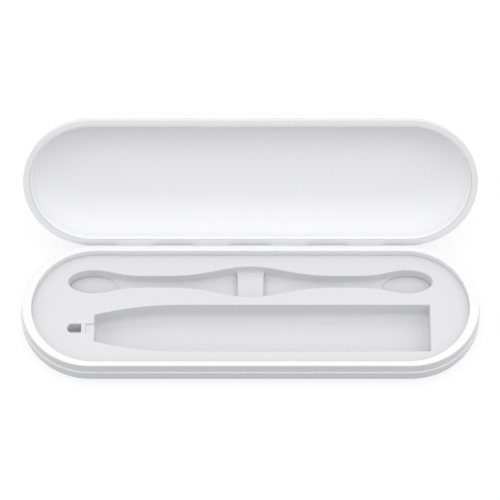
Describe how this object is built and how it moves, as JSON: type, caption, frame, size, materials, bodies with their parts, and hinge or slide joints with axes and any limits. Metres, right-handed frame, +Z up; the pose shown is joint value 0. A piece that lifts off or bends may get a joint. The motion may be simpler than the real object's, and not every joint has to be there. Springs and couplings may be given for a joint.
{
  "type": "toothbrush travel case",
  "caption": "Long round-ended clamshell travel case with a lid hinged at the back and a moulded tray for an electric toothbrush handle and its brush heads.",
  "frame": {"origin": "centre of the base's flat underside, on the surface that the case rests on", "axes": "+X along the case, +Y from its front to its hinge, +Z up"},
  "size_m": [0.24, 0.1224, 0.0732],
  "materials": {
    "case_gloss": "moulded, soft gloss white",
    "tray_satin": "moulded, satin pale grey-white",
    "liner_gloss": "moulded, soft gloss white",
    "pad_soft": "soft matt pad",
    "pin_steel": "drawn steel wire",
    "screw_steel": "zinc-plated steel",
    "magnet_plated": "nickel-plated magnet"
  },
  "bodies": {
    "base": {"base_shell": "case_gloss", "base_rim": "case_gloss", "rim_screws": "screw_steel", "tray": "tray_satin", "bristle_pad_left": "pad_soft", "bristle_pad_right": "pad_soft", "base_magnet_left": "magnet_plated", "base_magnet_right": "magnet_plated", "hinge_pin": "pin_steel", "pin_plug_left": "case_gloss", "pin_plug_right": "case_gloss"},
    "lid": {"lid_shell": "case_gloss", "lid_liner": "liner_gloss", "lid_magnet_left": "magnet_plated", "lid_magnet_right": "magnet_plated"}
  },
  "joints": [
    {"name": "lid_hinge", "type": "hinge", "parent": "base", "child": "lid", "pos_m": [0, 0.0363, 0.0158], "axis": [-1, 0, 0], "range_deg": [-124.5, 0]}
  ]
}
